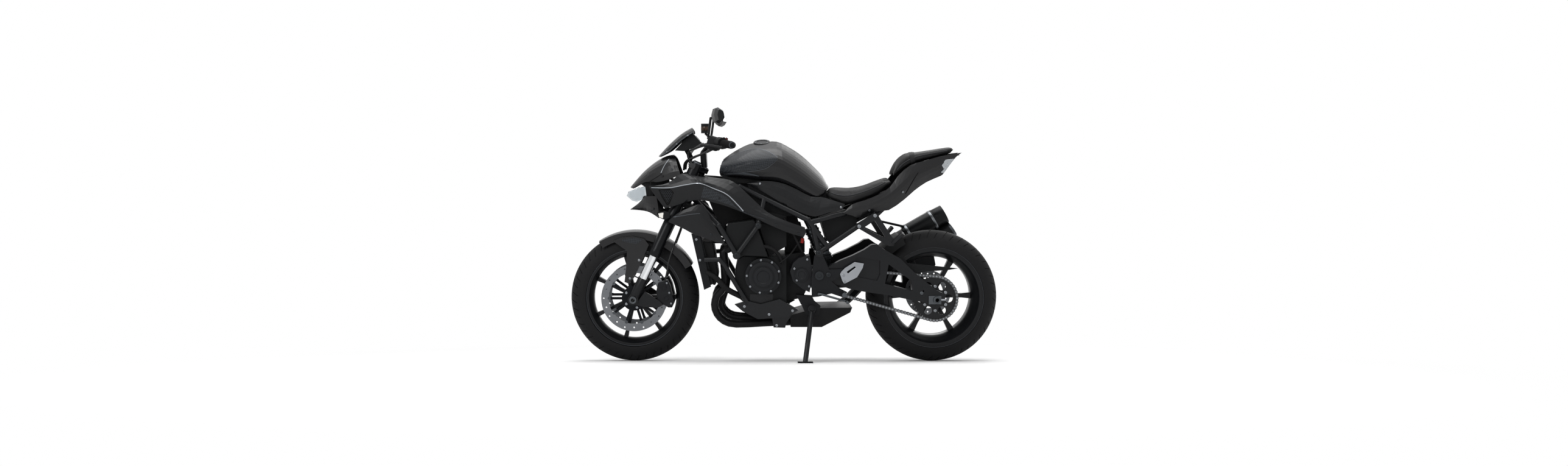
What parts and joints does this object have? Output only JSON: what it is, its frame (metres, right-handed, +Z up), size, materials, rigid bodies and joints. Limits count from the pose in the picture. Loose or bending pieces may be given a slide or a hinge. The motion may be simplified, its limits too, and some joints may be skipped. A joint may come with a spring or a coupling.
{
  "type": "motorcycle",
  "caption": "Naked sport motorcycle parked leaning on its side stand, with spinning wheels, turning handlebar and fork, and a folding stand.",
  "frame": {"origin": "middle of the bounding box at floor level", "axes": "+X towards the rear wheel, +Y towards the right side, +Z up; the bike leans towards -Y on its side stand"},
  "size_m": [2.0909, 0.8066, 1.2751],
  "materials": {
    "main_frame": "satin black paint",
    "pivot_plates": "black anodised",
    "crankcase": "graphite cast",
    "cylinder_block": "graphite cast",
    "engine_covers": "graphite cast",
    "exhaust_headers": "brushed and heat-tinted",
    "muffler": "matt black",
    "radiator": "matt black",
    "airbox": "matt",
    "fuel_tank": "satin black paint",
    "tank_side_panels": "satin",
    "rider_seat": "matt vinyl",
    "pillion_seat": "matt vinyl",
    "tail_cowl": "satin black paint",
    "tail_lamp": "red lens",
    "front_cowl": "satin black paint",
    "headlamp": "clear lens",
    "side_fairings": "satin black paint",
    "intake_grilles": "matt",
    "lower_shrouds": "satin black paint",
    "front_indicators": "amber lens",
    "swingarm": "black paint",
    "rear_axle": "plain",
    "rear_caliper": "black anodised",
    "chain": "plain",
    "rear_hugger": "satin",
    "foot_levers": "anodised",
    "heel_guards": "brushed",
    "pillion_hangers": "black paint",
    "engine_guards": "satin black",
    "rear_shock": "plain",
    "fork_bridges": "black anodised",
    "fork_tubes": "black anodised",
    "fork_stanchions": "chromed",
    "fork_feet": "black cast",
    "front_fender": "satin black paint",
    "front_calipers": "black anodised",
    "front_axle": "plain",
    "handlebar": "black anodised",
    "grips": "matt",
    "bar_controls": "satin",
    "mirrors": "satin",
    "mirror_glass": "mirror",
    "screen": "dark smoke",
    "meter": "satin",
    "front_tyre": "matt",
    "front_rim": "black paint",
    "front_discs": "ground",
    "rear_tyre": "matt",
    "rear_rim": "black paint",
    "rear_sprocket": "plain",
    "rear_disc": "ground",
    "stand_bracket": "black",
    "side_stand": "black paint"
  },
  "bodies": {
    "chassis": {"main_frame": "main_frame", "pivot_plates": "pivot_plates", "crankcase": "crankcase", "cylinder_block": "cylinder_block", "engine_covers": "engine_covers", "exhaust_headers": "exhaust_headers", "muffler": "muffler", "radiator": "radiator", "airbox": "airbox", "fuel_tank": "fuel_tank", "tank_side_panels": "tank_side_panels", "rider_seat": "rider_seat", "pillion_seat": "pillion_seat", "tail_cowl": "tail_cowl", "tail_lamp": "tail_lamp", "front_cowl": "front_cowl", "headlamp": "headlamp", "side_fairings": "side_fairings", "intake_grilles": "intake_grilles", "lower_shrouds": "lower_shrouds", "front_indicators": "front_indicators", "swingarm": "swingarm", "rear_axle": "rear_axle", "rear_caliper": "rear_caliper", "chain": "chain", "rear_hugger": "rear_hugger", "foot_levers": "foot_levers", "heel_guards": "heel_guards", "pillion_hangers": "pillion_hangers", "engine_guards": "engine_guards", "rear_shock": "rear_shock", "stand_bracket": "stand_bracket"},
    "steering": {"fork_bridges": "fork_bridges", "fork_tubes": "fork_tubes", "fork_stanchions": "fork_stanchions", "fork_feet": "fork_feet", "front_fender": "front_fender", "front_calipers": "front_calipers", "front_axle": "front_axle", "handlebar": "handlebar", "grips": "grips", "bar_controls": "bar_controls", "mirrors": "mirrors", "mirror_glass": "mirror_glass", "screen": "screen", "meter": "meter"},
    "front_wheel": {"front_tyre": "front_tyre", "front_rim": "front_rim", "front_discs": "front_discs"},
    "rear_wheel": {"rear_tyre": "rear_tyre", "rear_rim": "rear_rim", "rear_sprocket": "rear_sprocket", "rear_disc": "rear_disc"},
    "stand": {"side_stand": "side_stand"}
  },
  "joints": [
    {"name": "steering_turn", "type": "hinge", "parent": "chassis", "child": "steering", "pos_m": [-0.43323, 0.04833, 0.85061], "axis": [0.4226, -0.1418, 0.8951], "range_deg": [-30, 30]},
    {"name": "front_wheel_spin", "type": "hinge", "parent": "steering", "child": "front_wheel", "pos_m": [-0.7306, 0.13365, 0.3119], "axis": [0, 0.9877, 0.1564], "continuous": true},
    {"name": "rear_wheel_spin", "type": "hinge", "parent": "chassis", "child": "rear_wheel", "pos_m": [0.7244, 0.13265, 0.31824], "axis": [0, 0.9877, 0.1564], "continuous": true},
    {"name": "side_stand_fold", "type": "hinge", "parent": "chassis", "child": "stand", "pos_m": [0.12956, -0.00597, 0.24733], "axis": [0, -0.9277, 0.3733], "range_deg": [0, 98.7]}
  ]
}
